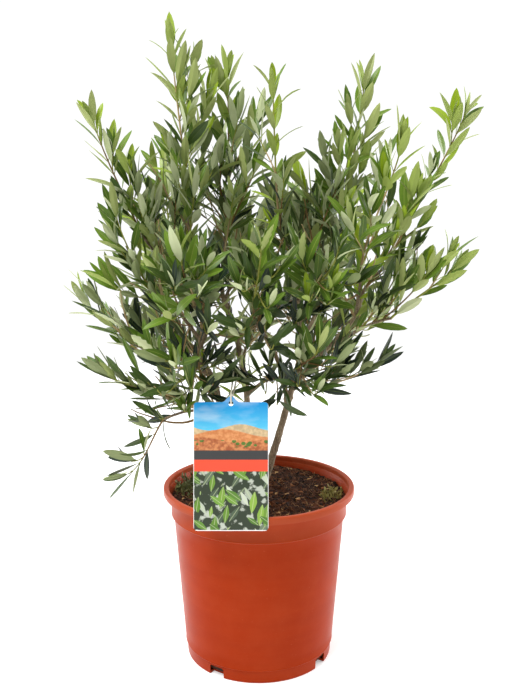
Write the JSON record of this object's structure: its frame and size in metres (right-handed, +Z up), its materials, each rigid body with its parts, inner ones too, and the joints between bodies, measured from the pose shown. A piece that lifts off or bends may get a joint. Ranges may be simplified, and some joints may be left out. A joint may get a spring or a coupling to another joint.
{
  "type": "potted olive tree",
  "caption": "Young bushy olive tree with several stems and narrow leaves in a terracotta-coloured plastic pot, with a hanging plant label.",
  "frame": {"origin": "centre of the pot's flat underside", "axes": "+Z up, -Y to the front, where the label hangs, +X to the right seen from the front"},
  "size_m": [0.4626, 0.3296, 0.686],
  "materials": {
    "pot_plastic": "satin moulded terracotta-coloured plastic",
    "soil": "moist fibrous potting soil",
    "bark": "rough grey-brown bark",
    "leaves": "leathery leaves, dark green above and pale below",
    "label_card": "printed plastic card",
    "loop_plastic": "pale plastic loop"
  },
  "bodies": {
    "root": {"bough_back_left": "bark", "bough_back_left_low": "bark", "bough_back_low": "bark", "bough_back_middle": "bark", "bough_back_right": "bark", "bough_back_right_low": "bark", "bough_front_left": "bark", "bough_front_low_left": "bark", "bough_front_low_right": "bark", "bough_front_middle": "bark", "bough_front_right": "bark", "bough_inner_right": "bark", "bough_left_drooping": "bark", "bough_left_inner": "bark", "bough_left_low": "bark", "bough_left_outer": "bark", "bough_left_second": "bark", "bough_left_upper": "bark", "bough_right_leader": "bark", "bough_right_low": "bark", "bough_right_middle": "bark", "bough_right_outer": "bark", "bough_right_reach": "bark", "foliage_back_left": "leaves", "foliage_back_left_low": "leaves", "foliage_back_low": "leaves", "foliage_back_middle": "leaves", "foliage_back_right": "leaves", "foliage_back_right_low": "leaves", "foliage_front_left": "leaves", "foliage_front_low_left": "leaves", "foliage_front_low_right": "leaves", "foliage_front_middle": "leaves", "foliage_front_right": "leaves", "foliage_inner_right": "leaves", "foliage_left_drooping": "leaves", "foliage_left_inner": "leaves", "foliage_left_low": "leaves", "foliage_left_outer": "leaves", "foliage_left_second": "leaves", "foliage_left_upper": "leaves", "foliage_middle_leader": "leaves", "foliage_middle_top": "leaves", "foliage_right_leader": "leaves", "foliage_right_low": "leaves", "foliage_right_middle": "leaves", "foliage_right_outer": "leaves", "foliage_right_reach": "leaves", "foliage_top_leader": "leaves", "label": "label_card", "label_loop": "loop_plastic", "pot": "pot_plastic", "soil": "soil", "stem_left": "bark", "stem_middle": "bark", "stem_right": "bark"}
  },
  "joints": []
}
